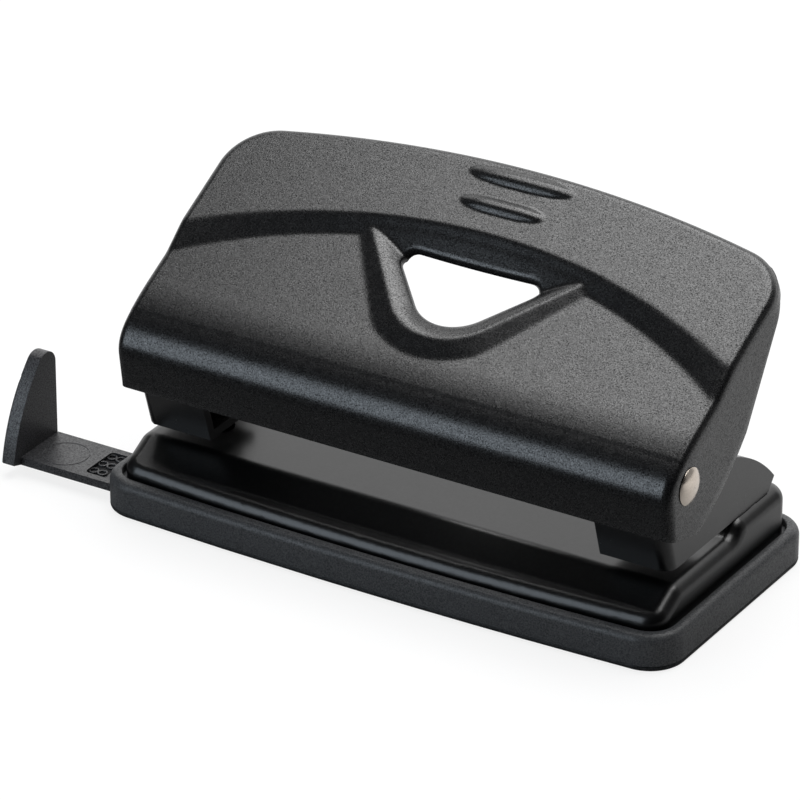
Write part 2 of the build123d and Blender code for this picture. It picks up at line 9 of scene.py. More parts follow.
import bmesh
import bpy
import numpy as np
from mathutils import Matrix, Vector


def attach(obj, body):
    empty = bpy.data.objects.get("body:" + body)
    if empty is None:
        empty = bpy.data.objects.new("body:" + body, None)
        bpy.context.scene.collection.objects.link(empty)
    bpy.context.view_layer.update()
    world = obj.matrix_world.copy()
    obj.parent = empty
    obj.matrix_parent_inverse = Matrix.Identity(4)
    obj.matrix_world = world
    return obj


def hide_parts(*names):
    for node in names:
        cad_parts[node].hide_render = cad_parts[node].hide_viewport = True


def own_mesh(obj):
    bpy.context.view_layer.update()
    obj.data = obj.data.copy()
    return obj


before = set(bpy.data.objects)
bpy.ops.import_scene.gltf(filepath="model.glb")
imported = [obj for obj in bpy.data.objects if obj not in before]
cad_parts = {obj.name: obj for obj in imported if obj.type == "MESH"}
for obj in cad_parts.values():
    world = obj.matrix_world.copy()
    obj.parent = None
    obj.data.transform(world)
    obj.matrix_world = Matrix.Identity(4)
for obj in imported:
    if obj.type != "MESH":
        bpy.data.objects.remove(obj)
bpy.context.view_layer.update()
log = logging.getLogger("punch")

Array = np.ndarray
Node = bpy.types.Node
Piece = bpy.types.Object
Socket = bpy.types.NodeSocket
Tree = bpy.types.NodeTree
Vert = bmesh.types.BMVert
Pair = tuple[float, float]
Triple = tuple[float, float, float]

MM = 0.001
QUARTER = math.pi / 2.0
TINY = 1e-9

# Noise of every finish: the range that it mostly fills, and a broad noise beside the fine one
NOISE_RANGE = (0.3, 0.7)
NOISE_ROUGHNESS = 0.6
FINE_DETAIL = 2.0
BROAD_DETAIL = 3.0
BROAD_WIDTH = 9.0
BROAD_BUMP = 0.12
BRUSH_STRETCH = (1.0, 1.0, 14.0)

# Meshes: distances in metres, angles in degrees
NODE_MERGE = 2e-6
SHEET_MERGE = 1e-6
FLAT_ANGLE = 0.4
BEVEL_ANGLE = 40.0
BEVEL_SEGMENTS = 2
SMOOTH_ANGLE = 32.0
NORMAL_WEIGHT = 80


class Side(Enum):
    """The two ends of the punch, by the sign of X."""

    LEFT = -1
    RIGHT = 1

    @property
    def word(self) -> str:
        """Name of the side as the nodes spell it."""
        return self.name.lower()


class Grain(Enum):
    """How a surface was finished."""

    POWDER = "powder coat"
    ENAMEL = "smooth enamel"
    MOULDED = "moulded plastic"
    GROUND = "ground steel"
    PLATED = "bright plating"


class Graph:
    """Adds and links the nodes of one shader or geometry tree."""

    def __init__(self, tree: Tree) -> None:
        """Start on an emptied tree."""
        self.tree = tree
        tree.nodes.clear()

    def add(self, kind: str, inputs: dict[str | int, object] | None = None, **settings: object) -> Node:
        """Add a node.

        Args:
            kind: The node's type name.
            inputs: Sockets to link or plain values, by the inputs' names or numbers.
            settings: Properties of the node.

        Returns:
            The new node.
        """
        node = self.tree.nodes.new(kind)
        for name, value in settings.items():
            setattr(node, name, value)
        for name, value in (inputs or {}).items():
            if isinstance(value, Socket):
                self.link(value, node.inputs[name])
            else:
                node.inputs[name].default_value = value
        return node

    def link(self, source: Socket, target: Socket) -> None:
        """Join an output to an input."""
        self.tree.links.new(source, target)

    def sum(self, operation: str, *values: Socket | float) -> Socket:
        """Work out one value from others."""
        return self.add("ShaderNodeMath", dict(enumerate(values)), operation=operation).outputs[0]

    def span(self, value: Socket, given: Pair, wanted: Pair, **settings: object) -> Socket:
        """Map one range of a value to another."""
        inputs = {"Value": value, "From Min": given[0], "From Max": given[1]}
        inputs |= {"To Min": wanted[0], "To Max": wanted[1]}
        return self.add("ShaderNodeMapRange", inputs, **settings).outputs["Result"]

    def mix(self, factor: Socket, one: Socket | float, two: Socket | float) -> Socket:
        """Go from one value to another by a factor."""
        return self.add("ShaderNodeMix", {"Factor": factor, "A": one, "B": two}, data_type="FLOAT").outputs[0]

    def axes(self, coordinate: str) -> Node:
        """Split one of the texture coordinates into X, Y and Z."""
        place = self.add("ShaderNodeTexCoord").outputs[coordinate]
        return self.add("ShaderNodeSeparateXYZ", {"Vector": place})


@dataclass(frozen=True)
class Finish:
    """One surface finish and the material made from it.

    Sizes are in millimetres: grain_size is the width of a grain, relief its height.
    """

    name: str
    colour: Triple
    roughness: float
    grain: Grain
    grain_size: float
    relief: float
    spread: float = 0.06
    mottle: float = 0.25
    specular: float = 0.5
    sparkle: float = 0.0

    @cache
    def material(self) -> bpy.types.Material:
        """Make the material, once."""
        made = bpy.data.materials.new(self.name)
        made.use_nodes = True
        graph = Graph(made.node_tree)
        place = graph.add("ShaderNodeTexCoord").outputs["Object"]
        if self.grain is Grain.GROUND:
            place = graph.add("ShaderNodeMapping", {"Vector": place, "Scale": BRUSH_STRETCH}).outputs["Vector"]
        fine = self._noise(graph, place, self.grain_size, FINE_DETAIL)
        broad = self._noise(graph, place, self.grain_size * BROAD_WIDTH, BROAD_DETAIL)
        inputs = {
            "Base Color": self._tint(graph, fine),
            "Roughness": self._gloss(graph, fine, broad),
            "Normal": self._bumps(graph, fine, broad),
            "Specular IOR Level": self.specular,
        }
        if self.grain in (Grain.GROUND, Grain.PLATED):
            inputs["Metallic"] = 1.0
        shader = graph.add("ShaderNodeBsdfPrincipled", inputs)
        if self.sparkle:
            graph.link(self._shine(graph, fine), shader.inputs["Specular IOR Level"])
        graph.add("ShaderNodeOutputMaterial", {"Surface": shader.outputs["BSDF"]})
        return made

    def _noise(self, graph: Graph, place: Socket, width: float, detail: float) -> Socket:
        """Noise whose grains are about a width across, in millimetres."""
        inputs = {"Vector": place, "Scale": 1.0 / (width * MM), "Detail": detail, "Roughness": NOISE_ROUGHNESS}
        return graph.add("ShaderNodeTexNoise", inputs).outputs["Fac"]

    def _tint(self, graph: Graph, fine: Socket) -> Socket:
        """Mottle the colour a little, darker and lighter than written."""
        ramp = graph.add("ShaderNodeValToRGB", {"Fac": fine})
        shares = (1 - self.mottle, 1 + self.mottle)
        for stop, place, share in zip(ramp.color_ramp.elements, NOISE_RANGE, shares):
            stop.position = place
            stop.color = (*(min(1.0, c * share) for c in self.colour), 1.0)
        return ramp.outputs["Color"]

    def _gloss(self, graph: Graph, fine: Socket, broad: Socket) -> Socket:
        """Vary the roughness with the grain and with broad handling marks."""
        mean = graph.sum("MULTIPLY_ADD", fine, 0.5, graph.sum("MULTIPLY", broad, 0.5))
        return graph.span(mean, NOISE_RANGE, (self.roughness - self.spread, self.roughness + self.spread))

    def _shine(self, graph: Graph, fine: Socket) -> Socket:
        """Let the grains shine more or less than the coat between them."""
        wanted = (self.specular * (1.0 - self.sparkle), self.specular * (1.0 + self.sparkle))
        return graph.span(fine, NOISE_RANGE, wanted)

    def _bumps(self, graph: Graph, fine: Socket, broad: Socket) -> Socket:
        """Raise the grain, over a broader unevenness of the surface."""
        inputs = {"Strength": BROAD_BUMP, "Distance": self.relief * MM, "Height": broad}
        uneven = graph.add("ShaderNodeBump", inputs).outputs["Normal"]
        inputs |= {"Strength": 1.0, "Height": fine, "Normal": uneven}
        return graph.add("ShaderNodeBump", inputs).outputs["Normal"]


# Name, colour, roughness, grain, grain size, relief, then spread, mottle, specular and sparkle
HANDLE_COAT = Finish(
    "handle_powder_coat", (0.004, 0.0041, 0.0045), 0.27, Grain.POWDER, 0.21, 0.014, 0.05, 0.3, 0.5, 0.9
)
BASE_ENAMEL = Finish(
    "base_enamel", (0.0015, 0.0015, 0.0017), 0.3, Grain.ENAMEL, 0.6, 0.0008, 0.02, 0.2, 0.5, 0.06
)
BRACKET_ENAMEL = Finish(
    "bracket_enamel", (0.0012, 0.0012, 0.0013), 0.25, Grain.ENAMEL, 0.5, 0.0015, 0.03, 0.2, 0.55, 0.08
)
TRAY_PLASTIC = Finish(
    "tray_moulding", (0.012, 0.0125, 0.0135), 0.5, Grain.MOULDED, 0.25, 0.012, 0.06, 0.5, 0.2, 0.6
)
SURROUND_PLASTIC = Finish(
    "surround_moulding", (0.034, 0.0352, 0.0372), 0.42, Grain.MOULDED, 0.25, 0.010, 0.06, 0.32, 0.3, 0.7
)
GUIDE_PLASTIC = Finish(
    "guide_moulding", (0.021, 0.021, 0.023), 0.4, Grain.MOULDED, 0.25, 0.010, 0.06, 0.42, 0.45, 0.8
)
# The guide's own plastic painted darker, as painted shade in the guide's recessed window
WINDOW_SHADE_PLASTIC = Finish(
    "guide_window_painted_shade", (0.008, 0.008, 0.009), 0.6, Grain.MOULDED, 0.25, 0.012, 0.06, 0.5, 0.1, 0.5
)
PIN_STEEL = Finish("pin_ground_steel", (0.55, 0.55, 0.56), 0.28, Grain.GROUND, 0.25, 0.002, 0.08, 0.12)
RING_STEEL = Finish("ring_zinc", (0.42, 0.42, 0.43), 0.38, Grain.PLATED, 0.4, 0.004, 0.08, 0.15)
SPRING_STEEL = Finish("spring_wire", (0.62, 0.60, 0.57), 0.25, Grain.PLATED, 0.3, 0.003, 0.06, 0.12)
RIVET_NICKEL = Finish("rivet_nickel_plate", (0.70, 0.62, 0.54), 0.22, Grain.PLATED, 0.35, 0.002, 0.05, 0.08)


def soft_ramp(u: Array, ease: float) -> Array:
    """Straight rise from 0 to 1 with both corners rounded.

    Args:
        u: Places along the rise, 0 at its foot and 1 at its head.
        ease: Half the length of each rounded corner.

    Returns:
        The heights, from 0 to 1.
    """
    foot = np.clip(u + ease, 0.0, 2.0 * ease) ** 2 / (4.0 * ease)
    rise = np.maximum(u - ease, 0.0)
    head = np.clip(u - 1.0 + ease, 0.0, 2.0 * ease) ** 2 / (4.0 * ease)
    over = np.maximum(u - 1.0 - ease, 0.0)
    return foot + rise - head - over


def blended(one: Array, two: Array, width: float) -> Array:
    """The higher of two forms' levels, rounded where they differ by less than a width."""
    near = np.maximum(width - np.abs(one - two), 0.0)
    return np.maximum(one, two) + near**2 / (4.0 * width)


class Skin:
    """Collects points and faces, in millimetres, and makes them an object."""

    def __init__(self) -> None:
        """Start with nothing."""
        self.points: list[Triple] = []
        self.faces: list[tuple[int, ...]] = []

    def row(self, points: Array) -> list[int]:
        """Add points, one on each line of an array, and give their numbers."""
        first = len(self.points)
        self.points.extend(tuple(float(c) for c in p) for p in points)
        return list(range(first, len(self.points)))

    def bridge(self, one: list[int], two: list[int], closed: bool = False) -> None:
        """Join two rows, or closed rings, of as many points with four-sided faces."""
        count = len(one)
        for i in range(count if closed else count - 1):
            j = (i + 1) % count
            self.faces.append((one[i], one[j], two[j], two[i]))

    def piece(self, name: str, finish: Finish) -> Piece:
        """Make the object, at the origin, in metres."""
        mesh = bpy.data.meshes.new(name)
        mesh.from_pydata([[c * MM for c in p] for p in self.points], [], self.faces)
        return finished(mesh, name, finish)


def finished(mesh: bpy.types.Mesh, name: str, finish: Finish) -> Piece:
    """Put a mesh in the scene under a name, with its finish."""
    mesh.materials.clear()
    mesh.materials.append(finish.material())
    piece = bpy.data.objects.new(name, mesh)
    bpy.context.scene.collection.objects.link(piece)
    return piece


def settle(piece: Piece) -> Piece:
    """Turn a piece's modifiers into its plain mesh."""
    depsgraph = bpy.context.evaluated_depsgraph_get()
    depsgraph.update()
    plain = bpy.data.meshes.new_from_object(piece.evaluated_get(depsgraph))
    piece.modifiers.clear()
    plain.name = piece.name
    piece.data = plain
    return piece


def bevel(piece: Piece, width: float, angle: float) -> None:
    """Ease the edges sharper than an angle in degrees, by a width in millimetres."""
    ease = piece.modifiers.new("ease_edges", "BEVEL")
    ease.width = width * MM
    ease.segments = BEVEL_SEGMENTS
    ease.limit_method = "ANGLE"
    ease.angle_limit = math.radians(angle)


def soften(piece: Piece) -> None:
    """Shade all of a piece's faces smooth."""
    piece.data.polygons.foreach_set("use_smooth", [True] * len(piece.data.polygons))


def smooth(piece: Piece, angle: float = SMOOTH_ANGLE, weigh: bool = True) -> Piece:
    """Shade a piece smooth but for edges over an angle in degrees; large faces may lead the shading."""
    soften(piece)
    piece.data.set_sharp_from_angle(angle=math.radians(angle))
    if weigh:
        lead = piece.modifiers.new("weigh_normals", "WEIGHTED_NORMAL")
        lead.keep_sharp = True
        lead.weight = NORMAL_WEIGHT
        settle(piece)
    return piece


def carried(piece: Piece, body: str, slot: str, *nodes: str) -> Piece:
    """Let a piece ride on a body, for the CAD nodes that it stands for."""
    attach(piece, body)
    if nodes:
        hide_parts(*nodes)
    log.info("%s: %d faces", piece.name, len(piece.data.polygons))
    return piece


def trued(node: str, finish: Finish, slot: str, body: str, edge: float = 0.0) -> Piece:
    """A smooth copy of a CAD node, with its sharp edges eased.

    Args:
        node: The CAD node.
        finish: Its surface.
        slot: The record's material slot; not used.
        body: The body that it rides on.
        edge: Width of the eased edges in millimetres, 0 for none.

    Returns:
        The piece that stands for the node.
    """
    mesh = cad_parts[node].data.copy()
    work = bmesh.new()
    work.from_mesh(mesh)
    bmesh.ops.remove_doubles(work, verts=work.verts, dist=NODE_MERGE)
    flat = math.radians(FLAT_ANGLE)
    bmesh.ops.dissolve_limit(work, angle_limit=flat, verts=work.verts, edges=work.edges)
    work.to_mesh(mesh)
    work.free()
    piece = finished(mesh, f"{node}_skin", finish)
    if edge:
        bevel(piece, edge, BEVEL_ANGLE)
        settle(piece)
    return carried(smooth(piece), body, slot, node)


@dataclass
class Handle:
    """The pressed sheet handle, laid out on its slanted panel.

    A place on it is x across, s along the side profile and a level above the sunk panel. Along the
    profile s is the reach up the slope, and below 0 it runs round the nose and down its front.
    """

    half_width: float = 50.5
    sheet: float = 1.2
    slope: float = math.radians(27.5)
    reach: float = 44.4
    rear_bow: float = 5.9
    rear_corner: float = 9.5
    rear_turn_share: float = 0.8
    fold: float = 1.62
    edge: float = 0.18
    edge_angle: float = 55.0
    crease_angle: float = 50.0
    # Centre of the nose and foot of its front wall, in the side view
    nose_at: Pair = (-13.1, 27.6)
    nose_radius: float = 7.0
    foot_at: Pair = (-19.2, 20.9)
    shoulder: float = 0.42
    shoulder_run: float = 6.2
    shoulder_end: float = 8.0
    raised: float = 1.3
    # The riser's foot and head: the reach of each at the middle, and its radius
    riser_foot: Pair = (26.8, 88.0)
    riser_head: Pair = (29.85, 107.0)
    riser_ease: float = 0.14
    eye_x: float = 0.5
    eye_top: float = 24.85
    eye_foot: float = 8.65
    eye_half: float = 14.7
    eye_foot_round: float = 8.1
    eye_corner_round: float = 2.0
    eye_sink: float = 0.62
    funnel_slope: float = 0.44
    funnel_swell: float = 1.5
    roll: float = 1.3
    roll_depth: float = 0.3
    roll_share: float = 0.9
    rim_crest: Pair = (3.7, 2.7)
    rim_foot: Pair = (7.4, 4.9)
    rim_ease: float = 0.12
    blend: float = 0.14
    lip_depth: float = 3.5
    lip_inset: float = 10.3
    flange: tuple[Pair, ...] = ((-11.2, 18.8), (-3.6, 22.9), (4.1, 29.8))
    # Each grip rib's length, width, place across and reach
    grips: tuple[tuple[float, ...], ...] = ((19.2, 3.2, 1.1, 41.0), (15.3, 3.0, 0.6, 35.2))
    grip_height: float = 0.7
    grip_swell: float = 0.9
    grip_squareness: float = 3.2
    # Counts of the mesh's points
    columns: int = 236
    corner_columns: int = 22
    corner_start: float = 0.12
    rows: int = 122
    wall_rows: int = 7
    nose_rows: int = 22
    fold_rows: int = 8
    flange_rows: int = 9
    flange_steps: int = 40
    roll_rows: int = 7
    eye_foot_steps: int = 24
    eye_corner_steps: int = 12
    outline_step: float = 0.08
    even_steps: int = 12

    def __post_init__(self) -> None:
        """Work out the places that follow from the sizes."""
        self.up = np.array([math.cos(self.slope), math.sin(self.slope)])
        self.out = np.array([-math.sin(self.slope), math.cos(self.slope)])
        self.nose = np.array(self.nose_at)
        self.seat = self.nose + self.nose_radius * self.out
        foot = np.array(self.foot_at) - self.nose
        turn = math.atan2(foot[1], foot[0]) + 2.0 * math.pi
        self.wall_turn = turn - math.acos(self.nose_radius / float(np.hypot(*foot)))
        self.panel_turn = QUARTER + self.slope
        self.arc_length = self.nose_radius * (self.wall_turn - self.panel_turn)
        wall_head = self.nose + self.nose_radius * self._ray(self.wall_turn)
        self.wall_length = float(np.hypot(*(self.nose + foot - wall_head)))
        self.lip_level = self.raised - self.lip_depth
        self.lip_reach = self.reach - self.lip_inset
        self.lean = math.atan2(self.eye_half, self.eye_top - self.eye_foot)
        self.roll_turn = math.atan(self.funnel_slope * self.funnel_swell * self.roll_share)
        self.roll_run = self.roll * (1.0 - math.sin(self.roll_turn))
        self.outline = self._eye_outline(self.roll_run)

    @staticmethod
    def _ray(turn: float | Array) -> Array:
        """Unit direction in the side view."""
        return np.stack([np.cos(turn), np.sin(turn)], axis=-1)

    @staticmethod
    def _sag(x: Array, radius: float) -> Array:
        """Drop of an arc of that radius at a distance from its apex."""
        return radius - np.sqrt(radius**2 - np.minimum(np.abs(x), radius) ** 2)

    def _corner_span(self, corner: float) -> float:
        """Length that the rounding of a top corner of the eye takes from its top edge."""
        return corner / math.tan((QUARTER - self.lean) / 2.0)

    def _eye_outline(self, grow: float) -> Array:
        """Closed outline of the finger eye, grown by an offset, as x and reach."""
        lean = self.lean
        apex = self.eye_foot - grow / math.sin(lean)
        top = self.eye_top + grow
        foot_round = self.eye_foot_round + grow
        corner = self.eye_corner_round + grow
        foot = apex + foot_round / math.sin(lean)
        centre = ((top - apex) * math.tan(lean) - self._corner_span(corner), top - corner)
        low = np.linspace(-QUARTER, -lean, self.eye_foot_steps)
        right = [(foot_round * math.cos(a), foot + foot_round * math.sin(a)) for a in low]
        turns = np.linspace(-lean, QUARTER, self.eye_corner_steps)
        right += [(centre[0] + corner * math.cos(a), centre[1] + corner * math.sin(a)) for a in turns]
        half = np.array([*right, (0.0, top)])
        dense = [half[0]]
        for one, two in zip(half[:-1], half[1:]):
            steps = max(1, int(np.hypot(*(two - one)) / self.outline_step))
            dense += [one + (two - one) * k / steps for k in range(1, steps + 1)]
        half = np.array(dense)
        return np.concatenate([half, (half * [-1.0, 1.0])[::-1]]) + [self.eye_x, 0.0]

    def eye_distance(self, x: Array, t: Array) -> Array:
        """Distance outside the sides and foot of the eye, below 0 between them; its top isn't counted."""
        cos, sin = math.cos(self.lean), math.sin(self.lean)
        foot = self.eye_foot + self.eye_foot_round / sin
        across = np.abs(x - self.eye_x)
        side = across * cos - (t - self.eye_foot) * sin
        along = across * sin + (t - foot) * cos
        return np.where(along >= 0.0, side, np.hypot(across, t - foot) - self.eye_foot_round)

    def level(self, x: Array, t: Array) -> Array:
        """Height of the pressing above the sunk panel.

        Args:
            x: Places across.
            t: Reaches up the slope.

        Returns:
            Levels in millimetres.
        """
        foot, head = (mid - self._sag(x, bow) for mid, bow in (self.riser_foot, self.riser_head))
        rise = (t - foot) / (head - foot)
        riser = self.raised * soft_ramp(rise, self.riser_ease)
        away = self.eye_distance(x, t)
        share = np.clip((t - self.eye_foot) / (self.eye_top - self.eye_foot), 0.0, 1.0)
        crest, rim_foot = (low + (high - low) * share for low, high in (self.rim_crest, self.rim_foot))
        fall = soft_ramp((away - crest) / (rim_foot - crest), self.rim_ease)
        ridge = (self.funnel_slope * crest - self.eye_sink) * (1.0 - fall)
        # The funnel bends down from the ridge to the eye's sides and foot, and the riser runs on to its top
        u = away / crest
        inside = 1.0 - np.clip(1.0 - u, 0.0, 1.0) ** self.funnel_swell
        bend = np.where(u < 0.0, self.funnel_swell * u, inside) + np.maximum(u - 1.0, 0.0)
        funnel = np.maximum(self.funnel_slope * crest * bend - self.eye_sink, self.raised * rise)
        form = -blended(-blended(riser, ridge, self.blend), -funnel, self.blend)
        return np.where(t > 0.0, form + self._grip_level(x, t), 0.0) - self._shoulder(t)

    def _shoulder(self, s: Array) -> Array:
        """How far the sheet lies below the plain profile where the panel eases into the nose."""
        behind = np.maximum(1.0 - s / self.shoulder_run, 0.0) ** 2
        u = np.clip(-s / self.shoulder_end, 0.0, 1.0)
        steep = 2.0 * self.shoulder_end / self.shoulder_run
        ahead = 2.0 * u**3 - 3.0 * u**2 + 1.0 + steep * (u**3 - 2.0 * u**2 + u)
        return self.shoulder * np.where(s > 0.0, behind, ahead)

    def _grip_level(self, x: Array, t: Array) -> Array:
        """Height that the grip ribs add."""
        total = np.zeros_like(x)
        for length, width, middle, reach in self.grips:
            along = np.abs(2.0 * (x - middle) / length) ** self.grip_squareness
            away = along + (2.0 * (t - reach) / width) ** 2
            total += self.grip_height * np.maximum(1.0 - away, 0.0) ** self.grip_swell
        return total

    def profile(self, s: Array) -> tuple[Array, Array]:
        """Places and outward normals, as Y and Z, of the side profile with nothing pressed into it."""
        turn = self.panel_turn + np.clip(-s, 0.0, self.arc_length) / self.nose_radius
        normal = self._ray(turn)
        place = self.nose + self.nose_radius * normal
        place = place + np.maximum(s, 0.0)[..., None] * self.up
        below = np.maximum(-s - self.arc_length, 0.0)[..., None]
        down = np.array([-math.sin(self.wall_turn), math.cos(self.wall_turn)])
        return place + below * down, normal

    def surface(self, x: Array, s: Array) -> Array:
        """Points on the pressing, as X, Y and Z, at places across and along the profile."""
        place, normal = self.profile(s)
        level = self.level(np.clip(x, -self.half_width, self.half_width), s)
        return np.concatenate([x[..., None], place + level[..., None] * normal], axis=-1)

    def on_panel(self, reach: Array, level: Array) -> Array:
        """Places in the side view at reaches up the slope and levels above the panel."""
        return self.seat + reach[:, None] * self.up + level[:, None] * self.out

    def _rear_arcs(self, inset: float) -> tuple[float, ...]:
        """The rear edge's bow and round corners, drawn in by an inset.

        Args:
            inset: How far the edge is drawn in.

        Returns:
            The bow's radius, the corners' radius, a corner's centre across and along the panel, and
            how far across the two arcs meet.
        """
        half = self.half_width - inset
        radius = (half**2 + self.rear_bow**2) / (2.0 * self.rear_bow)
        corner = self.rear_corner - inset
        centre = half - corner
        centre_t = self.reach - inset - radius + math.sqrt((radius - corner) ** 2 - centre**2)
        return radius, corner, centre, centre_t, centre * radius / (radius - corner)

    def _rear_reach(self, x: Array) -> Array:
        """Reach of the rear edge where its fold starts."""
        radius, corner, centre, centre_t, meet = self._rear_arcs(self.fold)
        bow = self.reach - self.fold - self._sag(x, radius)
        over = np.clip(np.abs(x) - centre, 0.0, corner)
        return np.where(np.abs(x) < meet, bow, centre_t + np.sqrt(corner**2 - over**2))

    def _columns(self) -> Array:
        """Places across for the mesh, closer where the rear corners turn."""
        half = self.half_width - self.fold
        corner = self.rear_corner - self.fold
        turn = np.linspace(self.corner_start, QUARTER, self.corner_columns)
        ends = half - corner + corner * np.sin(turn)
        middle = np.linspace(-ends[0], ends[0], self.columns - 2 * len(ends) + 2)
        return np.concatenate([-ends[::-1], middle[1:-1], ends])

    def build(self) -> Piece:
        """Make the handle: the pressed grid, its folded edge, the eye's rolled edge and the sheet's wall."""
        skin = Skin()
        x = self._columns()
        wall = np.linspace(-self.arc_length - self.wall_length, -self.arc_length, self.wall_rows)
        nose = np.linspace(-self.arc_length, 0.0, self.nose_rows)
        ahead = np.concatenate([wall[:-1], nose[:-1]])
        share = np.linspace(0.0, 1.0, self.rows)
        s = np.concatenate([np.tile(ahead[:, None], (1, len(x))), share[:, None] * self._rear_reach(x)])
        across, s, keep = self._punch_eye(np.tile(x, (len(s), 1)), s)
        rows = [skin.row(line) for line in self.surface(across, s)]
        for j, i in np.argwhere(keep):
            skin.faces.append((rows[j][i], rows[j][i + 1], rows[j + 1][i + 1], rows[j + 1][i]))
        self._edge(skin, rows, across, s)
        piece = skin.piece("handle_skin", HANDLE_COAT)
        self._tidy(piece)
        self._roll_eye(piece)
        thicken = piece.modifiers.new("sheet", "SOLIDIFY")
        thicken.thickness = self.sheet * MM
        thicken.offset = -1.0
        bevel(piece, self.edge, self.edge_angle)
        smooth(settle(piece), self.crease_angle, weigh=False)
        return carried(piece, "handle", "handle_paint", "handle")

    def _punch_eye(self, x: Array, s: Array) -> tuple[Array, Array, Array]:
        """Open the finger eye in the grid and bring the grid's points onto its edge.

        Args:
            x: Places across, one line for each row.
            s: Places along the profile.

        Returns:
            The moved places and which of the grid's faces stay.
        """
        mid_x = (x[:-1, :-1] + x[1:, 1:]) / 2.0
        mid_s = (s[:-1, :-1] + s[:-1, 1:] + s[1:, :-1] + s[1:, 1:]) / 4.0
        near = (mid_s > self.eye_foot) & (mid_s < self.eye_top + self.roll)
        keep = ~(near & (self._corner_distance(mid_x, mid_s) < self.roll_run))
        gone = np.pad(~keep, 1)
        around = np.stack([gone[:-1, :-1], gone[:-1, 1:], gone[1:, :-1], gone[1:, 1:]])
        x, s = x.copy(), s.copy()
        for j, i in np.argwhere(around.any(axis=0) & ~around.all(axis=0)):
            away = np.hypot(self.outline[:, 0] - x[j, i], self.outline[:, 1] - s[j, i])
            x[j, i], s[j, i] = self.outline[np.argmin(away)]
        return x, s, keep

    def _corner_distance(self, x: Array, t: Array) -> Array:
        """Distance outside the whole eye, its rounded top corners included."""
        sides = np.maximum(self.eye_distance(x, t), t - self.eye_top)
        corner = self.eye_corner_round
        over_x = np.abs(x - self.eye_x) - (self.eye_half - self._corner_span(corner))
        over_t = t - (self.eye_top - corner)
        beyond = (over_t > 0.0) & (over_x > -over_t * math.tan(self.lean)) & (over_x > 0.0)
        return np.where(beyond, np.maximum(sides, np.hypot(over_x, over_t) - corner), sides)

    def _edge(self, skin: Skin, rows: list[list[int]], across: Array, s: Array) -> None:
        """Fold the sides and the rear down, into the flanges and the rear lip.

        Args:
            skin: The mesh in the making.
            rows: The grid's point numbers.
            across: The grid's places across.
            s: The grid's places along the profile.
        """
        last = len(rows) - 1
        right = len(rows[0]) - 1
        loop = [(j, 0) for j in range(last)] + [(last, i) for i in range(right)]
        loop += [(j, right) for j in range(last, -1, -1)]
        x = np.array([across[c] for c in loop])
        t = np.array([s[c] for c in loop])
        ring = [rows[j][i] for j, i in loop]
        heading = self._outward(x, t, slice(last, last + right + 1))
        level = self.level(x, t)
        for turn in np.linspace(0.0, QUARTER, self.fold_rows)[1:]:
            away = self.fold * math.sin(turn)
            drop = self.fold * (1.0 - math.cos(turn))
            place, normal = self.profile(t + heading[:, 1] * away)
            flat = place + (level - drop)[:, None] * normal
            points = np.concatenate([(x + heading[:, 0] * away)[:, None], flat], axis=1)
            for end in (0, -1):
                points[end, 2] = self._foot_height(points[end, 1])
            following = skin.row(points)
            skin.bridge(ring, following)
            ring = following
        self._walls(skin, ring)

    def _outward(self, x: Array, t: Array, rear: slice) -> Array:
        """Outward headings along the grid's edge: sideways on the flanks, square to the rear edge behind."""
        radius, _, centre, centre_t, meet = self._rear_arcs(self.fold)
        bow = np.stack([x, t - (self.reach - self.fold - radius)], axis=1)
        turn = np.stack([x - np.sign(x) * centre, t - centre_t], axis=1)
        square = np.where((np.abs(x) < meet)[:, None], bow, turn)
        square /= np.maximum(np.hypot(square[:, 0], square[:, 1]), TINY)[:, None]
        heading = np.stack([np.sign(x), np.zeros_like(x)], axis=1)
        heading[rear] = square[rear]
        return heading

    def _foot_height(self, y: float) -> float:
        """Height of the flange's lower edge just behind the nose's foot."""
        (y0, z0), (y1, z1) = self.foot_at, self.flange[0]
        return z0 + (y - y0) / (y1 - y0) * (z1 - z0)

    def _flange_edge(self, start: Array) -> Array:
        """Lower edge of a flange in the side view, from behind the nose's foot to the rear lip."""
        one, two, three = (np.array(p) for p in self.flange)
        corner = self.seat + self.lip_reach * self.up + self.lip_level * self.out
        share = np.linspace(0.0, 1.0, self.flange_steps)[:, None]
        first = start + (one - start) * share
        # The arc through the three points is near a quadratic through them
        middle = 2.0 * two - (one + three) / 2.0
        arc = (1 - share) ** 2 * one + 2 * share * (1 - share) * middle + share**2 * three
        rest = three + (corner - three) * share
        return np.concatenate([first, arc[1:], rest[1:]])

    @staticmethod
    def _run(line: Array) -> Array:
        """Lengths along a line of points, from its first one."""
        return np.concatenate([[0.0], np.cumsum(np.hypot(*np.diff(line, axis=0).T))])

    def _walls(self, skin: Skin, ring: list[int]) -> None:
        """Carry the fold's last row down to the flanges' outline and the rear lip's edge."""
        top = np.array([skin.points[n] for n in ring])
        flat = top[:, 1:] - self.seat
        reach = flat @ self.up
        level = flat @ self.out
        foot = np.stack([reach, np.full(len(top), self.lip_level)], axis=1)
        for side in Side:
            part = np.where((np.sign(top[:, 0]) == side.value) & (reach < self.lip_reach))[0]
            part = part if side is Side.LEFT else part[::-1]
            run = self._run(flat[part])
            edge = self._flange_edge(top[part[0], 1:])
            length = self._run(edge)
            want = run / run[-1] * length[-1]
            lower = np.stack([np.interp(want, length, line) for line in edge.T], axis=1) - self.seat
            foot[part] = np.stack([lower @ self.up, lower @ self.out], axis=1)
        cornered = np.abs(top[:, 0]) > self.half_width - self.rear_corner
        for share in np.linspace(0.0, 1.0, self.flange_rows)[1:]:
            r = reach + (foot[:, 0] - reach) * share
            h = level + (foot[:, 1] - level) * share
            x = np.where(cornered, self._side_x(r, top[:, 0]), top[:, 0])
            following = skin.row(np.concatenate([x[:, None], self.on_panel(r, h)], axis=1))
            skin.bridge(ring, following)
            ring = following

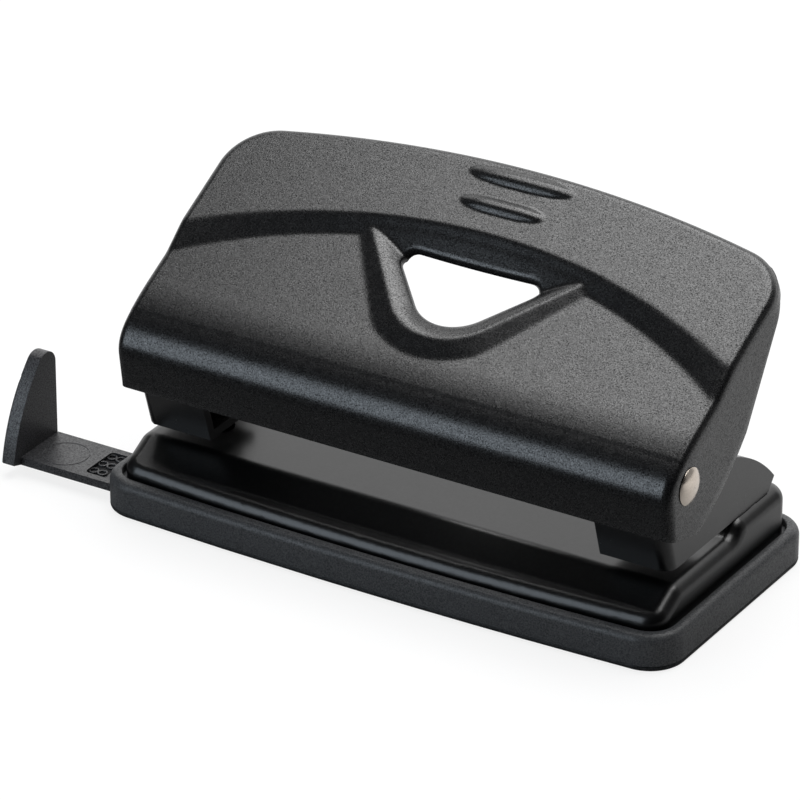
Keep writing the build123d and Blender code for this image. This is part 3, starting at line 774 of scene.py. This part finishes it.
    def _side_x(self, reach: Array, x: Array) -> Array:
        """Place across of the outer wall at a reach, round the rear corners."""
        _, corner, centre, centre_t, _ = self._rear_arcs(0.0)
        over = np.clip(reach - centre_t, 0.0, corner)
        around = centre + np.sqrt(corner**2 - over**2)
        turned = np.where(over < corner * self.rear_turn_share, around, np.abs(x))
        return np.sign(x) * np.where(over > 0.0, turned, self.half_width)

    def _roll_eye(self, piece: Piece) -> None:
        """Roll the sheet's edge down into the eye, before the sheet is given its thickness."""
        work = bmesh.new()
        work.from_mesh(piece.data)
        following: dict[Vert, Vert] = {}
        for edge in work.edges:
            if edge.is_boundary and all(self._in_eye(v.co) for v in edge.verts):
                loop = edge.link_loops[0]
                following[loop.vert] = loop.link_loop_next.vert
        ring = [next(iter(following))]
        while following[ring[-1]] is not ring[0]:
            ring.append(following[ring[-1]])
        self._even_out(ring)
        x, reach, level = self._laid_flat(ring)
        line = self._eye_outline(0.0)
        heading = line[self._nearest(x, reach, line)] - np.stack([x, reach], axis=1)
        heading /= np.hypot(heading[:, 0], heading[:, 1])[:, None]
        for run, drop in self._roll_steps():
            side = self.on_panel(reach + run * heading[:, 1], level - drop)
            row = [
                work.verts.new(((a + run * h) * MM, y * MM, z * MM))
                for a, h, (y, z) in zip(x, heading[:, 0], side)
            ]
            for i, vert in enumerate(ring):
                j = (i + 1) % len(ring)
                work.faces.new((ring[j], vert, row[i], row[j]))
            ring = row
        work.to_mesh(piece.data)
        work.free()

    def _roll_steps(self) -> list[Pair]:
        """How far in and down each row of the eye's rolled edge lies."""
        turns = np.linspace(self.roll_turn, QUARTER, self.roll_rows)[1:]
        sin, cos = math.sin(self.roll_turn), math.cos(self.roll_turn)
        steps = [(self.roll * (math.sin(a) - sin), self.roll * (cos - math.cos(a))) for a in turns]
        return [*steps, (steps[-1][0], steps[-1][1] + self.roll_depth)]

    def _laid_flat(self, ring: list[Vert]) -> tuple[Array, Array, Array]:
        """Places across, reaches and levels of points."""
        place = np.array([v.co for v in ring]) / MM
        flat = place[:, 1:] - self.seat
        return place[:, 0], flat @ self.up, flat @ self.out

    @staticmethod
    def _nearest(x: Array, reach: Array, line: Array) -> Array:
        """Numbers of a line's points that lie nearest to places."""
        gap = np.hypot(x[:, None] - line[None, :, 0], reach[:, None] - line[None, :, 1])
        return np.argmin(gap, axis=1)

    def _even_out(self, ring: list[Vert]) -> None:
        """Spread the points of the eye's edge, in order round the eye, evenly along its outline."""
        x, reach, _ = self._laid_flat(ring)
        line = self.outline
        count = len(line)
        near = self._nearest(x, reach, line)
        order = np.unwrap(near * 2.0 * math.pi / count) * count / (2.0 * math.pi)
        turn = math.copysign(count, order[-1] - order[0])
        for _ in range(self.even_steps):
            around = np.concatenate([[order[-1] - turn], order, [order[0] + turn]])
            order = (around[:-2] + 2.0 * around[1:-1] + around[2:]) / 4.0
        numbers = np.arange(count + 1)
        x, t = (np.interp(order % count, numbers, np.append(axis, axis[0])) for axis in line.T)
        for vert, point in zip(ring, self.surface(x, t)):
            vert.co = Vector(point) * MM

    def _in_eye(self, place: Vector) -> bool:
        """Whether a place, in metres, lies near the eye and not on the handle's outer edge."""
        reach = float((np.array(place)[1:] / MM - self.seat) @ self.up)
        return abs(place.x) < self.half_width / 2.0 * MM and 0.0 < reach < self.riser_head[0]

    @staticmethod
    def _tidy(piece: Piece) -> None:
        """Merge doubles, drop points of the eye that carry no face and turn the faces outwards."""
        work = bmesh.new()
        work.from_mesh(piece.data)
        bmesh.ops.delete(work, geom=[v for v in work.verts if not v.link_faces], context="VERTS")
        bmesh.ops.remove_doubles(work, verts=work.verts, dist=SHEET_MERGE)
        work.normal_update()
        flank_share = 0.2
        panel = [f for f in work.faces if abs(f.normal.x) < flank_share]
        if sum(f.normal.z for f in panel) < 0.0:
            bmesh.ops.reverse_faces(work, faces=work.faces)
        work.to_mesh(piece.data)
        work.free()


def new_tree(name: str, inputs: dict[str, str]) -> tuple[Graph, Node, Node]:
    """Start a geometry tree with inputs of some kinds, a place and a finish: graph, input and output."""
    tree = bpy.data.node_groups.new(name, "GeometryNodeTree")
    for label, kind in {**inputs, "Place": "Vector", "Finish": "Material"}.items():
        tree.interface.new_socket(label, in_out="INPUT", socket_type=f"NodeSocket{kind}")
    tree.interface.new_socket("Geometry", in_out="OUTPUT", socket_type="NodeSocketGeometry")
    graph = Graph(tree)
    return graph, graph.add("NodeGroupInput"), graph.add("NodeGroupOutput")


def close_tree(graph: Graph, shape: Socket, given: Node, output: Node) -> None:
    """End a geometry tree: its shape moved to its place, realized and given its material."""
    move = graph.add("GeometryNodeTransform", {"Geometry": shape, "Translation": given.outputs["Place"]})
    realize = graph.add("GeometryNodeRealizeInstances", {"Geometry": move.outputs["Geometry"]})
    inputs = {"Geometry": realize.outputs["Geometry"], "Material": given.outputs["Finish"]}
    paint = graph.add("GeometryNodeSetMaterial", inputs)
    graph.link(paint.outputs["Geometry"], output.inputs["Geometry"])


def tube(graph: Graph, path: Socket, radius: Socket, sides: int, caps: bool) -> Socket:
    """Sweep a round section along a curve."""
    wire = graph.add("GeometryNodeCurvePrimitiveCircle", {"Resolution": sides, "Radius": radius})
    inputs = {"Curve": path, "Profile Curve": wire.outputs["Curve"], "Fill Caps": caps}
    return graph.add("GeometryNodeCurveToMesh", inputs).outputs["Mesh"]


@cache
def coil_tree() -> Tree:
    """Tree that winds a round wire into a coil, made once."""
    steps, sides = 40, 14
    labels = ("Coil Radius", "Wire Radius", "Turns", "Height")
    graph, given, output = new_tree("wind_coil", dict.fromkeys(labels, "Float"))
    radius, wire, turns, height = (given.outputs[label] for label in labels)
    inputs = {"Resolution": steps, "Start Radius": radius, "End Radius": radius}
    inputs |= {"Rotations": turns, "Height": height}
    spiral = graph.add("GeometryNodeCurveSpiral", inputs)
    close_tree(graph, tube(graph, spiral.outputs["Curve"], wire, sides, True), given, output)
    return graph.tree


@cache
def ring_tree() -> Tree:
    """Tree that sets round rings on a grid, made once."""
    steps, sides = 48, 8
    kinds = dict.fromkeys(("Count X", "Count Y"), "Int")
    kinds |= dict.fromkeys(("Ring Radius", "Wire Radius", "Size X", "Size Y"), "Float")
    graph, given, output = new_tree("ring_marks", kinds)
    inputs = {f"Vertices {axis}": given.outputs[f"Count {axis}"] for axis in "XY"}
    inputs |= {f"Size {axis}": given.outputs[f"Size {axis}"] for axis in "XY"}
    grid = graph.add("GeometryNodeMeshGrid", inputs)
    inputs = {"Resolution": steps, "Radius": given.outputs["Ring Radius"]}
    path = graph.add("GeometryNodeCurvePrimitiveCircle", inputs)
    ring = tube(graph, path.outputs["Curve"], given.outputs["Wire Radius"], sides, False)
    spread = graph.add("GeometryNodeInstanceOnPoints", {"Points": grid.outputs["Mesh"], "Instance": ring})
    close_tree(graph, spread.outputs["Instances"], given, output)
    return graph.tree


def grown(name: str, tree: Tree, finish: Finish, values: dict[str, object]) -> Piece:
    """A piece that a geometry tree makes.

    Args:
        name: The piece's name.
        tree: The tree.
        finish: The piece's surface.
        values: Values by the tree's inputs' names.

    Returns:
        The piece, as a plain mesh.
    """
    piece = finished(bpy.data.meshes.new(name), name, finish)
    grow = piece.modifiers.new("grow", "NODES")
    grow.node_group = tree
    values = {**values, "Finish": finish.material()}
    for item in tree.interface.items_tree:
        if item.item_type == "SOCKET" and item.in_out == "INPUT":
            grow[item.identifier] = values[item.name]
    soften(settle(piece))
    return piece


@dataclass
class PunchUnit:
    """One end's bracket, pin, ring, washer and return spring."""

    side: Side
    punch_x: float = 40.0
    punch_y: float = -6.5
    seat_z: float = 14.7
    seat_gap: float = 0.04
    washer_z: float = 28.25
    coil_radius: float = 3.65
    wire: float = 0.7
    turns: float = 7.0
    stroke: float = 4.1
    bracket_edge: float = 0.15
    ring_edge: float = 0.06

    def build(self) -> list[Piece]:
        """Dress the bracket and the moving pieces and wind the spring."""
        word = self.side.word
        punch = f"{word}_punch"
        return [
            trued(f"{word}_punch_bracket", BRACKET_ENAMEL, "bracket_paint", "base", self.bracket_edge),
            trued(f"{word}_punch_pin", PIN_STEEL, "pin_steel", punch),
            trued(f"{word}_retaining_ring", RING_STEEL, "ring_steel", punch, self.ring_edge),
            trued(f"{word}_spring_washer", RING_STEEL, "ring_steel", punch, self.ring_edge),
            self._spring(),
        ]

    def _spring(self) -> Piece:
        """Wind the return spring at its length at rest, with the pin up."""
        word = self.side.word
        length = self.washer_z - self.seat_z
        x, y = self.side.value * self.punch_x * MM, self.punch_y * MM
        values = {
            "Coil Radius": self.coil_radius * MM,
            "Wire Radius": self.wire / 2.0 * MM,
            "Turns": self.turns,
            "Height": (length - self.wire - 2.0 * self.seat_gap) * MM,
            "Place": (x, y, (self.seat_z + self.wire / 2.0 + self.seat_gap) * MM),
        }
        piece = grown(f"{word}_spring_coil", coil_tree(), SPRING_STEEL, values)
        carried(piece, "base", "spring_steel", f"{word}_return_spring")
        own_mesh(piece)
        return piece


@dataclass
class PivotRivets:
    """The two domed rivets that the handle turns on."""

    head_x: float = 50.6
    flatness: float = 0.4
    edge: float = 0.08

    def build(self) -> list[Piece]:
        """Dress the rivets and set their heads down a little flatter."""
        pieces = []
        for side in Side:
            piece = trued(f"{side.word}_pivot_rivet", RIVET_NICKEL, "rivet_nickel", "base", self.edge)
            for vert in piece.data.vertices:
                over = abs(vert.co.x) - self.head_x * MM
                if over > 0.0:
                    vert.co.x -= side.value * over * self.flatness
            pieces.append(smooth(piece))
        return pieces


@dataclass
class Base:
    """The steel base, its plastic surround and the chip tray."""

    edge: float = 0.3

    def build(self) -> list[Piece]:
        """Dress the three pieces."""
        return [
            trued("base_plate", BASE_ENAMEL, "base_paint", "base"),
            trued("base_surround", SURROUND_PLASTIC, "surround_plastic", "base", self.edge),
            trued("chip_tray", TRAY_PLASTIC, "tray_plastic", "tray", self.edge),
        ]


@dataclass
class PaperGuide:
    """The sliding guide with its stop fin and the rings in its window."""

    edge: float = 0.15
    top_z: float = 3.1
    window: tuple[float, float, float, float] = (-61.1, -18.6, -54.7, -10.85)
    window_corner: float = 0.5
    window_z: float = 2.5
    lining: Pair = (-0.05, 0.03)
    marks: Pair = (-56.45, -14.3)
    marks_count: tuple[int, int] = (2, 3)
    marks_pitch: Pair = (1.65, 2.65)
    marks_lift: float = 0.12
    ring_radius: float = 0.74
    ring_wire: float = 0.2
    circle: Pair = (-63.9, -15.2)
    circle_radius: float = 3.85
    circle_wire: float = 0.07

    def build(self) -> list[Piece]:
        """Dress the guide, lay a darker sheet in its window as painted shade and raise its rings and its circle.
        """
        guide = trued("paper_guide", GUIDE_PLASTIC, "guide_plastic", "guide", self.edge)
        place = (*self.marks, self.window_z + self.marks_lift)
        marks = self._rings("guide_marks", self.marks_count, self.ring_radius, self.ring_wire, place)
        place = (*self.circle, self.top_z)
        circle = self._rings("guide_circle", (1, 1), self.circle_radius, self.circle_wire, place)
        return [guide, self._window_shade_sheet(), marks, circle]

    def _window_shade_sheet(self) -> Piece:
        """Line the window with a darker, matt sheet of the guide's plastic: painted shade in the recess."""
        low_x, low_y, high_x, high_y = self.window
        cut = self.window_corner
        corners = [
            *((low_x + cut, low_y), (high_x - cut, low_y)),
            *((high_x, low_y + cut), (high_x, high_y - cut)),
            *((high_x - cut, high_y), (low_x + cut, high_y)),
            *((low_x, high_y - cut), (low_x, low_y + cut)),
        ]
        skin = Skin()
        under, over = (skin.row(np.array([(*c, self.window_z + rise) for c in corners])) for rise in self.lining)
        skin.bridge(under, over, closed=True)
        skin.faces += [tuple(over), tuple(reversed(under))]
        return carried(skin.piece("guide_window_shade_sheet", WINDOW_SHADE_PLASTIC), "guide", "guide_plastic")

    def _rings(self, name: str, count: tuple[int, int], radius: float, wire: float, place: Triple) -> Piece:
        """Raise rows of plain rings on the guide.

        Args:
            name: The piece's name.
            count: How many rings stand along X and along Y.
            radius: Radius of a ring's middle line.
            wire: Radius of its round section.
            place: The middle of the rows.

        Returns:
            The rings.
        """
        values = {
            "Count X": count[0],
            "Count Y": count[1],
            "Ring Radius": radius * MM,
            "Wire Radius": wire * MM,
            "Size X": (count[0] - 1) * self.marks_pitch[0] * MM,
            "Size Y": (count[1] - 1) * self.marks_pitch[1] * MM,
            "Place": tuple(c * MM for c in place),
        }
        return carried(grown(name, ring_tree(), GUIDE_PLASTIC, values), "guide", "guide_plastic")


def aimed(name: str, data: bpy.types.ID, place: Triple, aim: Triple) -> Piece:
    """Stand a lamp or a camera at a place, looking at another."""
    stand = bpy.data.objects.new(name, data)
    stand.location = place
    stand.rotation_euler = (Vector(aim) - Vector(place)).to_track_quat("-Z", "Y").to_euler()
    bpy.context.scene.collection.objects.link(stand)
    return stand


@dataclass(frozen=True)
class Softbox:
    """A soft lamp, placed and aimed in metres."""

    name: str
    place: Triple
    aim: Triple
    width: float
    height: float
    watts: float
    colour: Triple = (1.0, 1.0, 1.0)

    def build(self) -> Piece:
        """Set up the lamp."""
        lamp = bpy.data.lights.new(self.name, "AREA")
        lamp.shape = "RECTANGLE"
        lamp.size = self.width
        lamp.size_y = self.height
        lamp.energy = self.watts
        lamp.color = self.colour
        return aimed(self.name, lamp, self.place, self.aim)


@dataclass
class Studio:
    """The pale floor, the lamps, the world and the camera, in metres."""

    camera_place: Triple = (0.43440, -0.72100, 0.45635)
    camera_aim: Triple = (-0.00698, -0.00430, 0.02349)
    lens: float = 270.0
    sensor: float = 36.0
    clip: Pair = (0.05, 20.0)
    lamps: tuple[Softbox, ...] = (
        Softbox("top_softbox", (0.03, 0.235, 0.75), (0.03, 0.235, 0.0), 0.92, 0.58, 8.6),
        Softbox("front_softbox", (-0.42, -0.76, 0.335), (0.0, -0.02, 0.03), 0.55, 0.63, 3.6, (0.80, 0.90, 1.0)),
    )
    floor_half: float = 3.0
    floor_white: float = 0.86
    floor_glow: float = 0.82
    # The share of its white that the floor mirrors, from the front to the rear of a span of Y
    mirror_span: Pair = (-0.06, 0.06)
    mirror_share: Pair = (0.04, 0.45)
    # The room's light by direction: from front to back wall, and from left to right
    wall_span: Pair = (0.1, 0.5)
    wall_light: Pair = (0.05, 1.7)
    side_span: Pair = (0.15, 0.55)
    side_share: Pair = (1.0, 0.2)

    def build(self) -> None:
        """Set up everything round the object."""
        self._floor()
        for lamp in self.lamps:
            lamp.build()
        self._world()
        self._camera()

    def _floor(self) -> None:
        """Lay the floor: it shows white, keeps a soft shadow and is dimmer where the front mirrors it."""
        half = self.floor_half
        corners = [(-half, -half, 0.0), (half, -half, 0.0), (half, half, 0.0), (-half, half, 0.0)]
        mesh = bpy.data.meshes.new("floor")
        mesh.from_pydata(corners, [], [(0, 1, 2, 3)])
        paint = bpy.data.materials.new("floor_white")
        paint.use_nodes = True
        graph = Graph(paint.node_tree)
        depth = graph.axes("Object").outputs["Y"]
        mirrored = graph.span(depth, self.mirror_span, self.mirror_share, interpolation_type="SMOOTHSTEP")
        path = graph.add("ShaderNodeLightPath").outputs
        white = graph.mix(path["Is Glossy Ray"], self.floor_white, mirrored)
        matt = graph.add("ShaderNodeBsdfDiffuse", {"Color": white})
        glow = graph.add("ShaderNodeEmission", {"Strength": 1.0})
        # 1 for rays from the camera and through clear things, and a share for reflections
        gloss = graph.sum("MULTIPLY", path["Is Glossy Ray"], mirrored)
        seen = graph.sum("MAXIMUM", path["Is Camera Ray"], gloss)
        seen = graph.sum("MAXIMUM", seen, path["Is Transmission Ray"])
        inputs = {"Fac": graph.sum("MULTIPLY", seen, self.floor_glow)}
        inputs |= {1: matt.outputs["BSDF"], 2: glow.outputs["Emission"]}
        mix = graph.add("ShaderNodeMixShader", inputs)
        graph.add("ShaderNodeOutputMaterial", {"Surface": mix.outputs["Shader"]})
        mesh.materials.append(paint)
        floor = bpy.data.objects.new("floor", mesh)
        bpy.context.scene.collection.objects.link(floor)

    def _world(self) -> None:
        """Light the room: a back wall that is bright at the left, and a dim front."""
        world = bpy.data.worlds.new("room")
        bpy.context.scene.world = world
        world.use_nodes = True
        graph = Graph(world.node_tree)
        axes = graph.axes("Generated").outputs
        wall = graph.span(axes["Y"], self.wall_span, self.wall_light, interpolation_type="SMOOTHSTEP")
        side = graph.span(axes["X"], self.side_span, self.side_share, interpolation_type="SMOOTHSTEP")
        camera = graph.add("ShaderNodeLightPath").outputs["Is Camera Ray"]
        shown = graph.mix(camera, graph.sum("MULTIPLY", wall, side), 1.0)
        glow = graph.add("ShaderNodeBackground", {"Strength": shown})
        graph.add("ShaderNodeOutputWorld", {"Surface": glow.outputs["Background"]})

    def _camera(self) -> None:
        """Stand the camera at the photograph's angle."""
        lens = bpy.data.cameras.new("camera")
        lens.lens = self.lens
        lens.sensor_width = self.sensor
        lens.clip_start, lens.clip_end = self.clip
        bpy.context.scene.camera = aimed("camera", lens, self.camera_place, self.camera_aim)


def main() -> None:
    """Build every sub-assembly in order, then the studio."""
    logging.basicConfig(level=logging.INFO, format="%(name)s: %(message)s")
    bpy.context.scene.view_settings.view_transform = "Standard"
    Base().build()
    PaperGuide().build()
    for side in Side:
        PunchUnit(side).build()
    PivotRivets().build()
    Handle().build()
    Studio().build()


if __name__ == "__main__":
    main()
